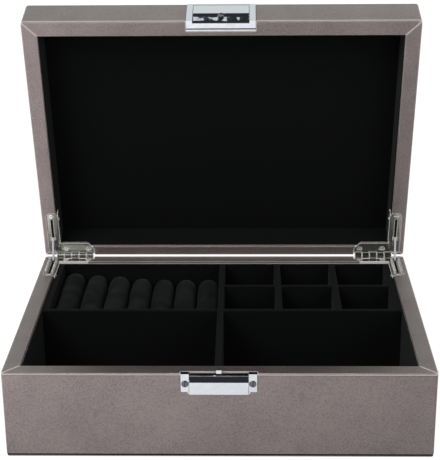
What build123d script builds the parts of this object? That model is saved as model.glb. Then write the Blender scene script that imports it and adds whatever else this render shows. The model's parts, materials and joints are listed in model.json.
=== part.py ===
"""Leather-wrapped jewellery box with a hinged lid, shown with its lid open.

Millimetres, +Z up, +Y to the rear. The origin is the middle of the underside.
Every lid piece is drawn where it lies with the lid shut, on a plane that has
been turned open about the hinge axis.
"""

import os
from math import cos, radians, sin, tan

from build123d import *

# ---- Case, outside ----
width = 280.0  # left to right
depth = 200.0  # front to rear
base_height = 62.0  # underside to the parting plane, which holds the hinge axis
lid_height = 29.0  # parting plane to the top of the lid
corner_round = 2.0  # upright outer corners
rim_gap = 0.6  # between the two rims with the lid shut
open_angle = 76.0  # lid, from shut to how it stands open

# ---- Walls, from outside to inside ----
leather = 1.0  # wrap, outside and over the rims
board = 9.0  # wall boards
lining = 1.8  # velvet on card
card_gap = 0.1  # between lining cards at a corner
lining_drop = 2.0  # rim down to the top of the lining
rim_turn = 1.4  # rim leather turned down over the outside
seam = 0.3  # between the rim leather and the side leather
rim_soft = 0.7  # rounding of the rim leather's edges
mitre_width = 0.35  # seam where two strips of rim leather meet
mitre_deep = 0.5

# ---- Underside ----
felt = 0.8
felt_inset = 6.0
plinth = 1.2  # wrapped board under the case
plinth_inset = 0.3
plinth_soft = 0.5
groove = 0.7  # shadow line over the plinth
floor_board = 5.2
floor_lining = 1.2

# ---- Lid ----
lid_rear_board = 6.0  # the lid's rear wall is thinner than its other walls
lid_top_board = 2.5
lid_panel = 2.0  # velvet panel inside the lid
panel_gap = 0.3
lid_top_soft = 1.2  # rounding of the lid's top edges

# ---- Dividers ----
main_partition_y = 3.0
main_partition = 4.0
centre_divider = 4.5
centre_divider_x = -0.9
cross_divider = 3.5
cell_divider = 4.7
cell_columns = 3
end_board = 4.8  # at the outer ends of the rolls and of the cells
lap_fit = 0.1  # each side of a half-lap slot
nap_round = 0.8  # rounding of the dividers' top edges, which the velvet softens

# ---- Ring rolls ----
roll_slack = 0.55  # between the first roll and its end board
roll_lift = (6.0, 4.0, 3.0, 1.0, 0.3, 0.0, 0.0)  # each crown over the lowest, left to right
roll_drop = 11.2  # rim down to the lowest crown
roll_height = 22.0
roll_gap = 0.5
roll_crown = 7.5  # rise of the domed top
roll_tuck = 0.7  # each side drawn in at the foot
roll_shoulder = 2.0
roll_end_soft = 2.0

# ---- Hinges ----
axis_out = 0.5  # hinge axis behind the rear face
knuckle_radius = 2.2
knuckle_count = 5
knuckle_gap = 0.25
knuckle_clear = 0.4
pin_radius = 0.9
pin_fit = 0.05
leaf_face = 1.5  # each leaf's face, from the parting plane
leaf_thick = 1.6
leaf_fit = 0.25
leaf_corner = 3.4  # rounding of the side arm's end
lip_thick = 0.6  # inner edge of the side arm, turned into the box along the lining
lip_fit = 0.1
lip_reach = 4.6
lip_past = 0.4  # past the end of the side arm
lip_boss = 1.0  # raised round on the lip
lip_boss_proud = 0.5
lip_boss_end = 6.8  # from the end of the side arm
arm_in = 7.2  # middle of the side arm, in from the side of the case
arm_half = 3.4
arm_length = 39.1  # from the hinge axis
rear_arm_in = 38.4  # end of the rear arm, in from the side of the case
rear_arm_reach = 10.8  # inner edge of the rear arm, from the hinge axis
rear_taper = (4.5, 5.0)  # cut off the inner corner of the rear arm's end, along x and y
taper_soft = 1.2
knuckle_in = 9.2  # end of the last knuckle, in from the side of the case
knuckle_end = 0.5  # first knuckle, from the end of the rear arm

# ---- Stay: a link pinned in the lid leaf, its far pin sliding in the base leaf ----
stay_end = 8.1  # slide pin with the lid shut, from the end of the side arm
stay_half = 1.6
stay_thick = 1.2
stay_pin = 0.6
stay_fit = 0.05
stay_slot = 2.0  # width of the slots that clear the link
slot_run = 2.2  # slots past the pins
lug_gap = 0.2
lug_thick = 1.0
lug_half = 1.2
rail_gap = 0.3  # between lug and rail
rail_thick = 1.0
rail_top = 1.2  # rails over the parting plane
rail_end = 1.6  # metal past each end of the pin's travel

# ---- Countersunk screws in the leaves ----
screw_shank = 0.95
screw_fit = 0.05
screw_head = 2.0
sink_angle = 82.0
screw_length = 7.0
screw_dome = 0.45  # raised head
screw_soft = 0.35
screw_slot = 0.5
screw_slot_deep = 0.35
end_screw = 2.9  # side-arm screw, from the end of the arm
rear_screw = 5.4  # rear-arm screws, from the hinge axis
rear_screw_in = (16.5, 34.1)  # rear-arm screws, in from the side of the case

# ---- Latch case in the base ----
press_half = 19.0  # half the width of the press plate
press_fit = 0.2
sheet = 1.0  # metal of the latch case and the striker frame
ear_half = 24.5  # half the width over the ears
ear_height = 12.8
ear_return = 2.4  # ears turned back over the rim
ear_corner = 0.8
case_depth = 3.7  # back of the latch case, in from the front face
case_drop = 14.9  # foot of the latch case, down from the rim
seat_fit = 0.2
notch_depth = 2.7  # open notch in the rim leather over the latch

# ---- Press plate: a rocker on a cross pin ----
press_top = 0.9  # top edge, down from the parting plane
press_height = 14.1
press_proud = 2.2  # flat, out from the front face
press_thick = 1.8
press_soft = 0.6
lip_proud = 1.9
lip_back = 1.2  # back of the lip, in from the front face
scoop_height = 4.9
scoop_wall = 1.1
scoop_belly = 0.2  # of the scoop's curve, inwards
rocker_in = 1.1  # cross pin, in from the front face
rocker_drop = 7.7  # cross pin, down from the parting plane
rocker_pin = 0.7
boss_radius = 1.4
spring_thick = 0.3
spring_half = 5.0
spring_bend = 0.6

# ---- Round-head screws in the ears ----
ear_screw_x = 21.8
ear_screw_drop = 7.0  # down from the rim
ear_screw_head = 2.2
ear_screw_dome = 0.8
ear_screw_soft = 0.5
ear_shank = 0.9
ear_screw_length = 6.0

# ---- Hook on the press plate, and the striker on the lid ----
hook_half = 1.7
hook_thick = 1.1
hook_in = 1.0  # back of the hook's post, in from the front face
nose_reach = 1.1
nose_thick = 0.85
nose_gap = 0.25  # between the nose and the keeper bar
striker_half = 24.3
window_half = 20.0
keeper_thick = 0.6
keeper_front = 1.4  # front edge of the keeper bar, in from the front face
keeper_back = 7.2
keeper_groove = (5.1, 6.0)  # shadow line along the keeper bar, in from the front face
keeper_groove_deep = 0.45
striker_margin = 1.9  # striker frame down from the lid's top
window_top = 1.6  # top bar of the striker frame
insert_gap = 0.3
flap_height = 13.6
flap_proud = 0.9
flap_thick = 2.1
flap_soft = 0.4
grip_deep = 4.4  # finger grip in the lid, in from the front face
grip_bulge = 1.6
grip_wall = 1.0
rivet_radius = 2.2
rivet_drop = 1.2  # rivet's middle, below the flap's lower edge
rivet_proud = 0.3

# ---- Levels and faces that follow from these ----
half_x = width / 2
half_y = depth / 2
front = -half_y
axis_y = half_y + axis_out
rim = base_height - rim_gap / 2
lid_rim = base_height + rim_gap / 2
lid_top = base_height + lid_height
board_in = leather + board  # inner face of the boards, in from the outside
room_x = half_x - board_in - lining  # lined room, from the middle
room_y = half_y - board_in - lining
plinth_top = felt + plinth
floor_low = plinth_top + floor_board
floor = floor_low + floor_lining
divider_top = rim - lining_drop
panel_low = lid_top - leather - lid_top_board - lid_panel
arm_x = half_x - arm_in
leaf_back = axis_y - knuckle_radius - knuckle_clear
stay_length = (arm_length - stay_end) / 2  # hinge axis to pivot, and pivot to slide pin
pin_open = axis_y - 2 * stay_length * cos(radians(open_angle))
pin_shut = axis_y - 2 * stay_length
press_high = base_height - press_top
press_low = press_high - press_height
rocker = (front + rocker_in, base_height - rocker_drop)
case_half = press_half + press_fit + sheet
window_high = lid_top - striker_margin - window_top
flap_low = window_high - insert_gap - flap_height

hinge_line = Location((0, axis_y, base_height))
lid_turn = hinge_line * Location((0, 0, 0), (-open_angle, 0, 0)) * hinge_line.inverse()

finished = []


def keep(builder, name):
    """Name a finished piece and put it on the list to be written."""
    builder.part.label = name
    finished.append(builder.part)


def turned(plane, lid):
    """A plane of the lid, turned open with it; any other plane as it is."""
    return Plane(lid_turn * plane.location) if lid else plane


def level(height, lid=False):
    """Horizontal plane at a height."""
    return turned(Plane.XY.offset(height), lid)


def upright(x, lid=False):
    """Plane across the case at x, with its sketch in y and z."""
    return turned(Plane.YZ.offset(x), lid)


def facing(point, direction, lid=False):
    """Plane at a point, looking along a direction."""
    return turned(Plane(origin=point, x_dir=(1, 0, 0), z_dir=direction), lid)


def rear_gain(lid):
    """How much farther back the inside of the lid reaches, behind its thinner rear wall."""
    return board - lid_rear_board if lid else 0.0


def outline(inset, mode=Mode.ADD, lid=False):
    """The case in plan, drawn in by an inset; the inside of the lid goes farther back."""
    if inset < corner_round:
        size = (width - 2 * inset, depth - 2 * inset)
        RectangleRounded(*size, corner_round - inset, mode=mode)
    else:
        gain = rear_gain(lid)
        with Locations((0, gain / 2)):
            Rectangle(width - 2 * inset, depth - 2 * inset + gain, mode=mode)


def box(x, y, z, lid=False, mode=Mode.ADD):
    """A block between pairs of x, y and z."""
    with BuildSketch(level(z[0], lid)) as plan:
        with Locations(((x[0] + x[1]) / 2, (y[0] + y[1]) / 2)):
            Rectangle(x[1] - x[0], y[1] - y[0])
    extrude(plan.sketch, amount=z[1] - z[0], mode=mode)


def ring(outer, inner, z, lid=False):
    """A frame round the case between two insets and two heights."""
    with BuildSketch(level(z[0], lid)) as plan:
        outline(outer, lid=lid)
        outline(inner, mode=Mode.SUBTRACT, lid=lid)
    extrude(plan.sketch, amount=z[1] - z[0])


def from_rim(reach, lid=False):
    """Heights of a layer that goes from a rim into its half of the case."""
    return (lid_rim, lid_rim + reach) if lid else (rim - reach, rim)


def both_ways(x):
    """A span of x and its mirror image."""
    return (x, (-x[1], -x[0]))


def posts(planes, radius, length, mode=Mode.ADD):
    """Cylinders that go in from planes by a length."""
    for plane in planes:
        with Locations(plane):
            Cylinder(radius, length, align=(Align.CENTER, Align.CENTER, Align.MAX), mode=mode)


# ---- Hinge seats: one outline shapes each leaf and the mortise it lies in ----
def leaf_outline(side, grow=0.0):
    """L in plan: a side arm, and a rear arm with a tapered end."""
    outer = arm_x + arm_half + grow
    inner = room_x - grow
    end = half_x - rear_arm_in - grow
    tip = axis_y - arm_length - grow
    back = leaf_back + grow
    edge = axis_y - rear_arm_reach - grow
    taper = ((end + rear_taper[0], edge), (end, edge + rear_taper[1]))
    points = [(outer, back), (outer, tip), (inner, tip), (inner, edge), *taper, (end, back)]
    Polygon(*((side * x, y) for x, y in points), align=None)
    tips = [((outer, tip), leaf_corner), ((inner, tip), leaf_corner)]
    for (x, y), radius in tips + [(point, taper_soft) for point in taper]:
        corner = vertices().sort_by_distance((side * x, y, 0))[0]
        fillet(corner, radius)


def knuckle_spans(lid=False):
    """Spans of x of one leaf's knuckles; the two leaves take turns."""
    low = half_x - rear_arm_in + knuckle_end
    pitch = (half_x - knuckle_in - low) / knuckle_count
    turns = range(1 if lid else 0, knuckle_count, 2)
    half_gap = knuckle_gap / 2
    return [(low + n * pitch + half_gap, low + (n + 1) * pitch - half_gap) for n in turns]


def leaf_screw_planes(side, lid=False):
    """Planes on a leaf's face, one at each of its screws."""
    height = base_height + (leaf_face if lid else -leaf_face)
    points = [(arm_x, axis_y - arm_length + end_screw)]
    points += [(half_x - inward, axis_y - rear_screw) for inward in rear_screw_in]
    direction = (0, 0, -1) if lid else (0, 0, 1)
    return [facing((side * x, y, height), direction, lid) for x, y in points]


def across(side, low, high):
    """A span of x on one side of the box, in rising order."""
    return (low, high) if side > 0 else (-high, -low)


def lip_spans(lid=False, grow=0.0):
    """Spans of y and z of the lip along a leaf's side arm."""
    y = (axis_y - arm_length - lip_past - grow, room_y)
    reach = leaf_face + lip_reach + grow
    if lid:
        return y, (base_height + leaf_face, base_height + reach)
    return y, (base_height - reach, base_height - leaf_face)


def hinge_seats(lid=False):
    """The mortises, knuckle notches and screw holes of both hinges, as solids."""
    reach = leaf_face + leaf_thick
    low = base_height - rim_gap if lid else base_height - reach
    with BuildPart() as seats:
        for side in (-1, 1):
            with BuildSketch(level(low, lid)):
                leaf_outline(side, leaf_fit)
                notch = (half_x - rear_arm_in - leaf_fit, half_x - knuckle_in + knuckle_clear)
                with Locations((side * sum(notch) / 2, axis_y)):
                    Rectangle(notch[1] - notch[0], 2 * (axis_y - leaf_back + leaf_fit))
            extrude(amount=reach + rim_gap)
            lip = lip_spans(lid, leaf_fit)
            box(across(side, room_x - lip_boss_proud - 2 * lip_thick, room_x), *lip, lid=lid)
            planes = leaf_screw_planes(side, lid)
            posts(planes, screw_shank + screw_fit, screw_length + screw_fit)
    return seats.part


# ---- Latch and striker seats ----
def latch_seat():
    """The pocket, rim notch and screw holes of the latch, as a solid."""
    half = case_half + seat_fit
    low = rim - case_drop - seat_fit
    with BuildPart() as seat:
        box((-half, half), (front - 1, front + case_depth + seat_fit), (low, rim - leather))
        box((-half, half), (front - 1, front + notch_depth), (rim - leather, rim + 1))
        for x in both_ways((press_half, ear_half + seat_fit)):
            box(x, (front - 1, front + ear_return + seat_fit), (rim - leather, rim + 1))
        posts(ear_screw_planes(), ear_shank + screw_fit, sheet + ear_screw_length + screw_fit)
    return seat.part


def ear_screw_planes():
    """Planes on the faces of the ears, one at each screw."""
    height = rim - ear_screw_drop
    return [facing((x, front - sheet, height), (0, -1, 0)) for x in (-ear_screw_x, ear_screw_x)]


def striker_seat():
    """The pockets of the striker in the lid's front, as a solid."""
    deep = front + grip_deep + grip_wall + seat_fit
    shallow = front - flap_proud + flap_thick + seat_fit
    x = (-window_half, window_half)
    with BuildPart() as seat:
        box(x, (front - 2, deep), (lid_rim - 1, flap_low + grip_wall + seat_fit), lid=True)
        box(x, (front - 2, shallow), (flap_low, window_high), lid=True)
        half = striker_half + seat_fit
        y = (front - 2, front + keeper_back + seat_fit)
        box((-half, half), y, (lid_rim - 1, lid_rim + keeper_thick), lid=True)
    return seat.part


seats = {False: [hinge_seats(), latch_seat()], True: [hinge_seats(True), striker_seat()]}


def cut_seats(lid=False):
    """Cut the seats of the hinges and of the latch or striker."""
    for seat in seats[lid]:
        add(seat, mode=Mode.SUBTRACT)


# ---- Boards, wrap and lining, alike for the base and the lid ----
def wall_boards(prefix, z, lid=False):
    """Four boards; the side boards fit between the front and rear ones."""
    gain = rear_gain(lid)
    inner_y = half_y - board_in
    side_x = half_x - leather - board / 2
    side_size = (board, 2 * inner_y + gain)
    for name, middle, size in (
        ("front", (0, -inner_y - board / 2), (width, board)),
        ("rear", (0, inner_y + (board + gain) / 2), (width, board - gain)),
        ("left", (-side_x, gain / 2), side_size),
        ("right", (side_x, gain / 2), side_size),
    ):
        with BuildPart() as wall:
            with BuildSketch(level(z[0], lid)):
                outline(leather)
                with Locations(middle):
                    Rectangle(*size, mode=Mode.INTERSECT)
            extrude(amount=z[1] - z[0])
            cut_seats(lid)
        keep(wall, f"{prefix}_{name}_board")


def rim_leather(name, lid=False):
    """The strip over the four boards' edges, turned down outside and inside."""
    with BuildPart() as strip:
        ring(0, leather, from_rim(rim_turn, lid), lid)
        ring(0, board_in + leather, from_rim(leather, lid), lid)
        ring(board_in, board_in + leather, from_rim(lining_drop, lid), lid)
        face = faces().sort_by_distance(level(lid_rim if lid else rim, lid).origin)
        top = [f for f in face if f.area > width * board][0]
        fillet(top.edges(), rim_soft)
        cut_mitres(lid)
        cut_seats(lid)
    keep(strip, name)


def cut_mitres(lid=False):
    """Cut the seams that cross the rim leather from corner to corner."""
    height = lid_rim + mitre_deep if lid else rim - mitre_deep
    middle = half_x - board_in / 2, half_y - board_in / 2
    with BuildSketch(level(height, lid)) as seams:
        for sign_x in (-1, 1):
            for sign_y in (-1, 1):
                with Locations((sign_x * middle[0], sign_y * middle[1])):
                    Rectangle(2 * board_in, mitre_width, 45 * sign_x * sign_y)
    extrude(seams.sketch, amount=-rim_gap - mitre_deep if lid else mitre_deep, mode=Mode.SUBTRACT)


def lining_cards(name, z, lid=False):
    """Four cards covered with velvet, one on the inside of each wall."""
    card_x = 2 * (half_x - board_in)
    gain = rear_gain(lid)
    with BuildPart() as cards:
        with BuildSketch(level(z[0], lid)):
            for card_y in (-room_y - lining / 2, room_y + gain + lining / 2):
                with Locations((0, card_y)):
                    Rectangle(card_x, lining)
            for sign in (-1, 1):
                with Locations((sign * (room_x + lining / 2), gain / 2)):
                    Rectangle(lining, 2 * (room_y - card_gap) + gain)
        extrude(amount=z[1] - z[0])
        add(seats[lid][0], mode=Mode.SUBTRACT)
    keep(cards, name)


wall_boards("base", (plinth_top, rim - leather))
wall_boards("lid", (lid_rim + leather, lid_top - leather), lid=True)
rim_leather("base_rim_leather")
rim_leather("lid_rim_leather", lid=True)
lining_cards("base_wall_lining", (floor, divider_top))
lining_cards("lid_wall_lining", (lid_rim + lining_drop, panel_low), lid=True)

# ---- Outer leather ----
with BuildPart() as base_side_leather:
    ring(0, leather, (plinth_top + groove, rim - rim_turn - seam))
    cut_seats()
keep(base_side_leather, "base_side_leather")

with BuildPart() as lid_leather:
    wrap_low = lid_rim + rim_turn + seam
    with BuildSketch(level(wrap_low, lid=True)):
        outline(0)
    extrude(amount=lid_top - wrap_low)
    lid_up = Axis((0, 0, 0), level(0, lid=True).z_dir)
    fillet(faces().sort_by(lid_up)[-1].edges(), lid_top_soft)
    with BuildSketch(level(wrap_low, lid=True)):
        outline(leather)
    extrude(amount=lid_top - leather - wrap_low, mode=Mode.SUBTRACT)
    cut_seats(lid=True)
keep(lid_leather, "lid_leather")

# ---- Underside and floor ----
with BuildPart() as bottom_felt:
    with BuildSketch(level(0)):
        outline(felt_inset)
    extrude(amount=felt)
keep(bottom_felt, "bottom_felt")

with BuildPart() as plinth_part:
    with BuildSketch(level(felt)):
        outline(plinth_inset)
    extrude(amount=plinth)
    fillet(faces().sort_by(Axis.Z)[0].edges(), plinth_soft)
keep(plinth_part, "plinth")

with BuildPart() as floor_part:
    with BuildSketch(level(plinth_top)):
        outline(board_in)
    extrude(amount=floor_board)
keep(floor_part, "floor_board")

with BuildPart() as floor_velvet:
    with BuildSketch(level(floor_low)):
        outline(board_in + panel_gap)
    extrude(amount=floor_lining)
keep(floor_velvet, "floor_lining")

# ---- Lid top and its velvet panel ----
with BuildPart() as lid_top_part:
    with BuildSketch(level(panel_low + lid_panel, lid=True)):
        outline(board_in, lid=True)
    extrude(amount=lid_top_board)
keep(lid_top_part, "lid_top_board")

with BuildPart() as lid_panel_part:
    with BuildSketch(level(panel_low, lid=True)):
        outline(board_in + panel_gap, lid=True)
    extrude(amount=lid_panel)
keep(lid_panel_part, "lid_panel")

# ---- Dividers, lapped where they cross ----
half_top = (floor + divider_top) / 2
main_y = (main_partition_y - main_partition / 2, main_partition_y + main_partition / 2)
centre_x = (centre_divider_x - centre_divider / 2, centre_divider_x + centre_divider / 2)
cell_end = room_x - end_board
cross_y = (main_y[1] + room_y) / 2
cell_room = cell_end - centre_x[1]
cell_width = (cell_room - (cell_columns - 1) * cell_divider) / cell_columns
cell_x = [
    (left, left + cell_divider)
    for left in (
        centre_x[1] + n * (cell_width + cell_divider) - cell_divider
        for n in range(1, cell_columns)
    )
]
cross_span = (cross_y - cross_divider / 2, cross_y + cross_divider / 2)


def widened(span):
    """A span with room on both sides for a half-lap."""
    return (span[0] - lap_fit, span[1] + lap_fit)


def soften_top(along):
    """Round a divider's two long top edges."""
    fillet(edges().filter_by(along).group_by(Axis.Z)[-1], nap_round)


with BuildPart() as main_divider:
    box((-room_x, room_x), main_y, (floor, divider_top))
    soften_top(Axis.X)
    box(widened(centre_x), main_y, (half_top, divider_top), mode=Mode.SUBTRACT)
keep(main_divider, "main_partition")

with BuildPart() as middle_divider:
    box(centre_x, (-room_y, room_y), (floor, divider_top))
    soften_top(Axis.Y)
    box(centre_x, widened(main_y), (floor, half_top), mode=Mode.SUBTRACT)
keep(middle_divider, "centre_divider")

with BuildPart() as cross_part:
    box((centre_x[1], cell_end), cross_span, (floor, divider_top))
    soften_top(Axis.X)
    for span in cell_x:
        box(widened(span), cross_span, (half_top, divider_top), mode=Mode.SUBTRACT)
keep(cross_part, "cross_divider")

for number, span in enumerate(cell_x, start=1):
    with BuildPart() as cell_part:
        box(span, (main_y[1], room_y), (floor, divider_top))
        soften_top(Axis.Y)
        box(span, widened(cross_span), (floor, half_top), mode=Mode.SUBTRACT)
    keep(cell_part, f"cell_divider_{number}")

for side, name in ((-1, "roll_end_board"), (1, "cell_end_board")):
    with BuildPart() as end_part:
        box(across(side, cell_end, room_x), (main_y[1], room_y), (floor, divider_top))
        soften_top(Axis.Y)
        add(seats[False][0], mode=Mode.SUBTRACT)
    keep(end_part, name)

# ---- Ring rolls on their bed ----
roll_top = rim - roll_drop
roll_low = roll_top - roll_height
roll_y = (main_y[1] + roll_gap / 2, room_y - roll_gap / 2)

with BuildPart() as bed:
    x = (-cell_end + roll_gap / 2, centre_x[0] - roll_gap / 2)
    box(x, roll_y, (floor, roll_low))
keep(bed, "roll_bed")

roll_pitch = (centre_x[0] + cell_end - roll_slack) / len(roll_lift)

for number, lift in enumerate(roll_lift, start=1):
    middle = centre_x[0] - (len(roll_lift) - number + 0.5) * roll_pitch
    half = (roll_pitch - roll_gap) / 2
    foot = half - roll_tuck
    crown = roll_top + lift
    shoulder = crown - roll_crown
    with BuildPart() as roll:
        with BuildSketch(Plane.XZ.offset(-roll_y[0])):
            with BuildLine():
                Polyline(
                    (middle - half, shoulder),
                    (middle - foot, roll_low),
                    (middle + foot, roll_low),
                    (middle + half, shoulder),
                )
                ThreePointArc(
                    (middle - half, shoulder),
                    (middle, crown),
                    (middle + half, shoulder),
                )
            make_face()
            fillet(vertices().group_by(Axis.Y)[-1], roll_shoulder)
        extrude(amount=roll_y[0] - roll_y[1])
        ends = faces().filter_by(Axis.Y).edges()
        fillet(ends.filter_by(lambda edge: edge.center().Z > roll_low + 1), roll_end_soft)
    keep(roll, f"ring_roll_{number}")


# ---- Hinge leaves ----
def stay_side(side, offset, thick):
    """The lower x of a layer beside the stay, at a distance from its middle plane."""
    return side * arm_x + (offset if offset > 0 else offset - thick)


def hinge_leaf(name, side, lid=False):
    """A leaf with its knuckles, and the lugs or rails that hold the stay."""
    sign = 1 if lid else -1
    near = base_height + sign * leaf_face
    far = near + sign * leaf_thick
    slot_y = (pin_shut - slot_run, (axis_y - stay_length if lid else pin_open) + slot_run)
    lug_x = stay_thick / 2 + lug_gap
    rail_x = lug_x + lug_thick + rail_gap
    with BuildPart() as leaf:
        with BuildSketch(level(min(near, far), lid)):
            leaf_outline(side)
            with Locations((side * arm_x, sum(slot_y) / 2)):
                SlotOverall(slot_y[1] - slot_y[0], stay_slot, 90, mode=Mode.SUBTRACT)
        extrude(amount=leaf_thick)
        lip_y, lip_z = lip_spans(lid)
        inner = room_x - lip_fit - lip_thick
        box(across(side, inner, room_x - lip_fit), lip_y, lip_z, lid=lid)
        bend = (axis_y - arm_length + leaf_corner, room_y)
        box(across(side, inner, room_x + lip_fit), bend, (min(near, far), max(near, far)), lid=lid)
        with BuildSketch(upright(side * (room_x - lip_fit), lid)):
            with Locations((axis_y - arm_length + lip_boss_end, sum(lip_z) / 2)):
                Circle(lip_boss)
        extrude(amount=-side * (lip_thick + lip_boss_proud))
        for span in knuckle_spans(lid):
            start = min(side * span[0], side * span[1])
            with BuildSketch(upright(start, lid)):
                with BuildLine():
                    Polyline(
                        (leaf_back - leaf_thick / 2, far),
                        (leaf_back - leaf_thick / 2, near),
                        (axis_y, near),
                        (axis_y, base_height + sign * knuckle_radius),
                        (leaf_back, far),
                        close=True,
                    )
                make_face()
                with Locations((axis_y, base_height)):
                    Circle(knuckle_radius)
                    Circle(pin_radius + pin_fit, mode=Mode.SUBTRACT)
            extrude(amount=span[1] - span[0])
        if lid:
            for offset in (-lug_x, lug_x):
                with BuildSketch(upright(stay_side(side, offset, lug_thick), lid)):
                    with Locations((axis_y - stay_length, (base_height + near) / 2)):
                        Rectangle(2 * lug_half, leaf_face)
                    with Locations((axis_y - stay_length, base_height)):
                        Circle(lug_half)
                        Circle(stay_pin + stay_fit, mode=Mode.SUBTRACT)
                extrude(amount=lug_thick)
        else:
            rail_y = (pin_shut - stay_pin - rail_end, pin_open + stay_pin + rail_end)
            rail_z = (near, base_height + rail_top)
            for offset in (-rail_x, rail_x):
                with BuildSketch(upright(stay_side(side, offset, rail_thick))):
                    with Locations((sum(rail_y) / 2, sum(rail_z) / 2)):
                        Rectangle(rail_y[1] - rail_y[0], rail_z[1] - rail_z[0])
                    with Locations(((pin_open + pin_shut) / 2, base_height)):
                        slot = 2 * (stay_pin + stay_fit)
                        SlotCenterToCenter(pin_open - pin_shut, slot, mode=Mode.SUBTRACT)
                extrude(amount=rail_thick)
        for plane in leaf_screw_planes(side, lid):
            with Locations(plane):
                CounterSinkHole(
                    screw_shank + screw_fit,
                    screw_head + screw_fit,
                    leaf_thick,
                    sink_angle,
                )
    keep(leaf, name)


def crosswise(name, x, y, z, radius, lid=False):
    """A plain pin along x between a pair of x."""
    with BuildPart() as pin:
        with BuildSketch(upright(x[0], lid)):
            with Locations((y, z)):
                Circle(radius)
        extrude(amount=x[1] - x[0])
    keep(pin, name)


def around(side, reach):
    """A span of x about the stay's middle plane."""
    return (side * arm_x - reach, side * arm_x + reach)


def stay_link(name, side):
    """The flat link, from its pivot on the open lid to its pin in the base leaf."""
    angle = radians(open_angle)
    pivot = (axis_y - stay_length * cos(angle), base_height + stay_length * sin(angle))
    far_pin = (pin_open, base_height)
    with BuildPart() as link:
        with BuildSketch(upright(side * arm_x - stay_thick / 2)):
            with Locations(((pivot[0] + far_pin[0]) / 2, (pivot[1] + far_pin[1]) / 2)):
                SlotCenterToCenter(stay_length, 2 * stay_half, open_angle)
            with Locations(pivot, far_pin):
                Circle(stay_pin + stay_fit, mode=Mode.SUBTRACT)
        extrude(amount=stay_thick)
    keep(link, name)


lug_reach = stay_thick / 2 + lug_gap + lug_thick
rail_reach = lug_reach + rail_gap + rail_thick
pin_span = (knuckle_spans()[0][0], knuckle_spans()[-1][1])
for hand, side in (("left", -1), ("right", 1)):
    hinge_leaf(f"{hand}_hinge_base_leaf", side)
    hinge_leaf(f"{hand}_hinge_lid_leaf", side, lid=True)
    span = pin_span if side > 0 else both_ways(pin_span)[1]
    crosswise(f"{hand}_hinge_pin", span, axis_y, base_height, pin_radius)
    stay_link(f"{hand}_stay_link", side)
    pivot_y = axis_y - stay_length
    reach = around(side, lug_reach)
    crosswise(f"{hand}_stay_pivot", reach, pivot_y, base_height, stay_pin, lid=True)
    crosswise(f"{hand}_stay_slide_pin", around(side, rail_reach), pin_open, base_height, stay_pin)


def leaf_screws(name, lid=False):
    """The six countersunk screws of both leaves on one half of the case."""
    head_depth = (screw_head - screw_shank) / tan(radians(sink_angle / 2))
    with BuildPart() as screws:
        for plane in leaf_screw_planes(-1, lid) + leaf_screw_planes(1, lid):
            with Locations(plane):
                Cone(
                    screw_shank,
                    screw_head,
                    head_depth,
                    align=(Align.CENTER, Align.CENTER, Align.MAX),
                )
            posts([plane], screw_shank, screw_length)
            with Locations(plane):
                Cylinder(
                    screw_head,
                    screw_dome,
                    align=(Align.CENTER, Align.CENTER, Align.MIN),
                )
            crown = plane.offset(screw_dome)
            top = faces().sort_by_distance(crown.origin)[0]
            fillet(top.edges(), screw_soft)
            with BuildSketch(crown):
                Rectangle(2 * screw_head, screw_slot)
            extrude(amount=-screw_slot_deep, mode=Mode.SUBTRACT)
    keep(screws, name)


leaf_screws("base_hinge_screws")
leaf_screws("lid_hinge_screws", lid=True)

# ---- Latch on the base ----
case_back = (front + case_depth - sheet, front + case_depth)
case_z = (rim - case_drop, rim - leather)
with BuildPart() as latch_case:
    box((-case_half, case_half), case_back, case_z)
    for x in both_ways((press_half + press_fit, case_half)):
        box(x, (front, case_back[1]), case_z)
    for x in both_ways((press_half + press_fit, ear_half)):
        box(x, (front - sheet, front), (rim - ear_height, rim))
        box(x, (front, front + ear_return), (rim - sheet, rim))
    outer = edges().filter_by(Axis.Y).filter_by(lambda edge: abs(edge.center().X) > ear_half - 0.01)
    fillet(outer.group_by(Axis.Z)[0], ear_corner)
    with BuildSketch(upright(-case_half)):
        with Locations(rocker):
            Circle(rocker_pin + pin_fit)
    extrude(amount=2 * case_half, mode=Mode.SUBTRACT)
    posts(ear_screw_planes(), ear_shank + screw_fit, sheet, mode=Mode.SUBTRACT)
keep(latch_case, "latch_case")

with BuildPart() as press:
    lip_low = press_high - press_soft
    scoop_low = press_high - scoop_height
    flat = front - press_proud
    scoop_back = front + lip_back - scoop_wall
    with BuildSketch(upright(-press_half)):
        with BuildLine():
            Polyline(
                (front - lip_proud, lip_low),
                (front - lip_proud + press_soft, press_high),
                (front + lip_back, press_high),
                (front + lip_back, rocker[1]),
                (flat + press_thick, rocker[1] - boss_radius),
                (flat + press_thick, press_low),
                (flat + press_soft, press_low),
                (flat, press_low + press_soft),
                (flat, scoop_low),
            )
            belly = (
                (flat + scoop_back) / 2 + scoop_belly,
                (scoop_low + lip_low - scoop_belly) / 2,
            )
            ThreePointArc((flat, scoop_low), belly, (scoop_back, lip_low))
            Line((scoop_back, lip_low), (front - lip_proud, lip_low))
        make_face()
        with Locations(rocker):
            Circle(boss_radius)
            Circle(rocker_pin + pin_fit, mode=Mode.SUBTRACT)
    extrude(amount=2 * press_half)
keep(press, "latch_press_plate")

crosswise("latch_rocker_pin", (-case_half, case_half), *rocker, rocker_pin)

nose_low = lid_rim + keeper_thick + nose_gap
nose_high = nose_low + nose_thick
hook_back = front + hook_in
with BuildPart() as hook:
    with BuildSketch(upright(-hook_half)):
        with BuildLine():
            Polyline(
                (hook_back - hook_thick, press_high),
                (hook_back, press_high),
                (hook_back, nose_low),
                (hook_back + nose_reach, nose_low),
                (hook_back + nose_reach, nose_low + nose_thick / 3),
                (hook_back, nose_high),
                (hook_back - hook_thick, nose_high),
                close=True,
            )
        make_face()
    extrude(amount=2 * hook_half)
keep(hook, "latch_hook")

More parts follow.
